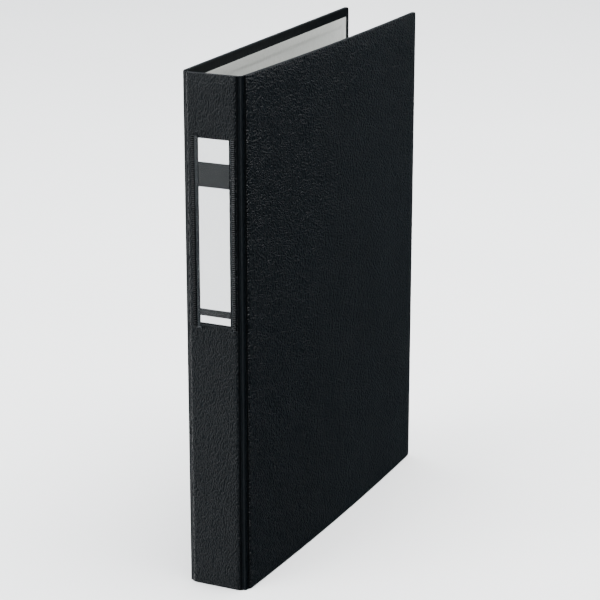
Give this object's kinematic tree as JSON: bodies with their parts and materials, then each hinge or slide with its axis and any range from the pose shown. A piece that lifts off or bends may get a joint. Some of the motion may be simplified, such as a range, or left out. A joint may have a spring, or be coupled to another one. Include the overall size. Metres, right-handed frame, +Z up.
{
  "type": "ring binder",
  "caption": "Upright ring binder: leather-grain covers and spine on film hinges, clear label pocket, D-ring mechanism inside the back cover.",
  "frame": {"origin": "middle of the spine's bottom edge, half way through the spine's thickness, on the shelf", "axes": "+Z up along the spine, +Y from the spine to the fore-edge, +X across the thickness towards the front cover"},
  "size_m": [0.0535, 0.257, 0.318],
  "materials": {
    "grain_film": "leather-grain embossed film, satin",
    "greyboard": "raw grey pulp board",
    "lining_paper": "matt grey paper",
    "clear_film": "clear glossy film",
    "label_paper": "plain white card with grey bands",
    "nickel_steel": "bright nickel plate",
    "rivet_steel": "nickel plate"
  },
  "bodies": {
    "spine": {"spine_board": "greyboard", "spine_film": "grain_film", "spine_lining": "lining_paper", "label_pocket": "clear_film"},
    "label": {"label_card": "label_paper"},
    "front_hinge": {"front_hinge_film": "grain_film", "front_hinge_lining": "lining_paper"},
    "back_hinge": {"back_hinge_film": "grain_film", "back_hinge_lining": "lining_paper"},
    "front_cover": {"front_board": "greyboard", "front_film": "grain_film", "front_lining": "lining_paper"},
    "back_cover": {"back_board": "greyboard", "back_film": "grain_film", "back_lining": "lining_paper", "ring_housing": "nickel_steel", "bottom_rivet": "rivet_steel", "top_rivet": "rivet_steel", "bottom_spacer": "rivet_steel", "top_spacer": "rivet_steel", "bottom_lever_pin": "nickel_steel", "top_lever_pin": "nickel_steel"},
    "fore_half": {"fore_rail": "nickel_steel", "ring_post_1": "nickel_steel", "ring_post_2": "nickel_steel", "ring_post_3": "nickel_steel", "ring_post_4": "nickel_steel"},
    "spine_half": {"spine_rail": "nickel_steel", "ring_bow_1": "nickel_steel", "ring_bow_2": "nickel_steel", "ring_bow_3": "nickel_steel", "ring_bow_4": "nickel_steel"},
    "bottom_opener": {"bottom_lever": "nickel_steel"},
    "top_opener": {"top_lever": "nickel_steel"}
  },
  "joints": [
    {"name": "front_spine_fold", "type": "hinge", "parent": "spine", "child": "front_hinge", "pos_m": [0.0164, -0.0007, 0.159], "axis": [0, 0, -1], "range_deg": [-1.44, 48.21]},
    {"name": "front_cover_fold", "type": "hinge", "parent": "front_hinge", "child": "front_cover", "pos_m": [0.02009, 0.00342, 0.159], "axis": [0, 0, -1], "range_deg": [-1.17, 39.2]},
    {"name": "back_spine_fold", "type": "hinge", "parent": "spine", "child": "back_hinge", "pos_m": [-0.0164, -0.0007, 0.159], "axis": [0, 0, 1], "range_deg": [-1.1, 48.21]},
    {"name": "back_cover_fold", "type": "hinge", "parent": "back_hinge", "child": "back_cover", "pos_m": [-0.02009, 0.00342, 0.159], "axis": [0, 0, 1], "range_deg": [-0.91, 39.8]},
    {"name": "spine_half_swing", "type": "hinge", "parent": "back_cover", "child": "spine_half", "pos_m": [-0.01618, 0.01917, 0.159], "axis": [0, 0, -1], "range_deg": [0, 18]},
    {"name": "fore_half_swing", "type": "hinge", "parent": "back_cover", "child": "fore_half", "pos_m": [-0.01679, 0.03656, 0.159], "axis": [0, 0, 1], "range_deg": [0, 18]},
    {"name": "bottom_lever_press", "type": "hinge", "parent": "back_cover", "child": "bottom_opener", "pos_m": [-0.01569, 0.02789, 0.0315], "axis": [-0.0349, 0.9994, 0], "range_deg": [0, 45]},
    {"name": "top_lever_press", "type": "hinge", "parent": "back_cover", "child": "top_opener", "pos_m": [-0.01569, 0.02789, 0.2865], "axis": [0.0349, -0.9994, 0], "range_deg": [0, 45]},
    {"name": "label_slide", "type": "slide", "parent": "spine", "child": "label", "axis": [0, 0, 1], "range_m": [0, 0.114]}
  ],
  "couplings": [
    {"joint": "front_spine_fold", "follows": "front_cover_fold", "ratio": 1.2296},
    {"joint": "back_spine_fold", "follows": "back_cover_fold", "ratio": 1.2111},
    {"joint": "fore_half_swing", "follows": "spine_half_swing", "ratio": 1},
    {"joint": "bottom_lever_press", "follows": "spine_half_swing", "ratio": 2.5},
    {"joint": "top_lever_press", "follows": "spine_half_swing", "ratio": 2.5}
  ]
}
